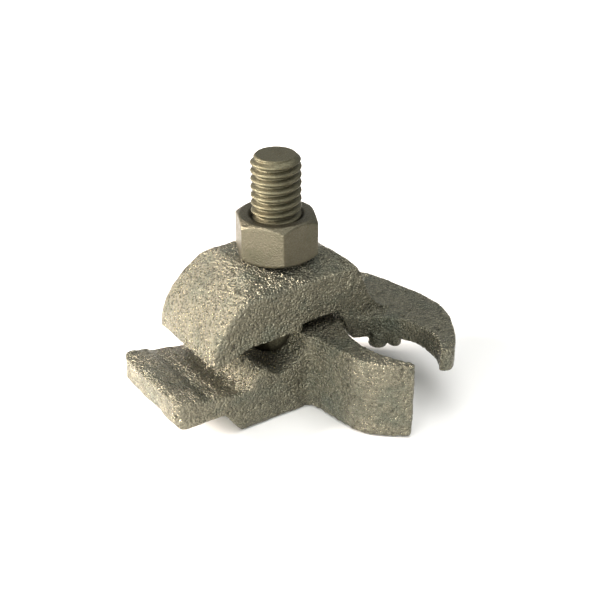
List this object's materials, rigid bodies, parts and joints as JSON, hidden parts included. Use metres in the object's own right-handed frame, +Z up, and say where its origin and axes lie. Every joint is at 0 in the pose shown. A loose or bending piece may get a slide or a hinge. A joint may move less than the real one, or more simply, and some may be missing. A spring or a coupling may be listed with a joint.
{
  "type": "ground clamp",
  "caption": "Galvanised cast clamp with two jaws and one bolt: a lip and heel grip a flange edge, an ear and hook hold a ground rod beside the bolt.",
  "frame": {"origin": "bolt axis where it meets the flat underside of the foot and of the bolt head", "axes": "+Z up the bolt toward its threaded end, +X from the lip toward the hook, the ear and hook reach out toward -Y"},
  "size_m": [0.0584, 0.0416, 0.0488],
  "materials": {
    "lower_casting": "hot-dip galvanised sand casting, rough, dull grey with a warm cast",
    "upper_casting": "hot-dip galvanised sand casting, rough, dull grey with a warm cast",
    "bolt_steel": "galvanised steel, satin, rounded thread crests",
    "nut_steel": "galvanised steel, satin"
  },
  "bodies": {
    "base": {"lower_jaw": "lower_casting", "clamp_bolt": "bolt_steel"},
    "jaw": {"upper_jaw": "upper_casting"},
    "nut": {"hex_nut": "nut_steel"}
  },
  "joints": [
    {"name": "jaw_lift", "type": "slide", "parent": "base", "child": "jaw", "axis": [0, 0, 1], "range_m": [-0.00079, 0.00953]},
    {"name": "nut_turn", "type": "hinge", "parent": "jaw", "child": "nut", "pos_m": [0, 0, 0.0329], "axis": [0, 0, 1], "range_deg": [-180, 2160]}
  ],
  "couplings": [
    {"joint": "nut_turn", "follows": "jaw_lift", "rad_per_m": 3957.9}
  ]
}
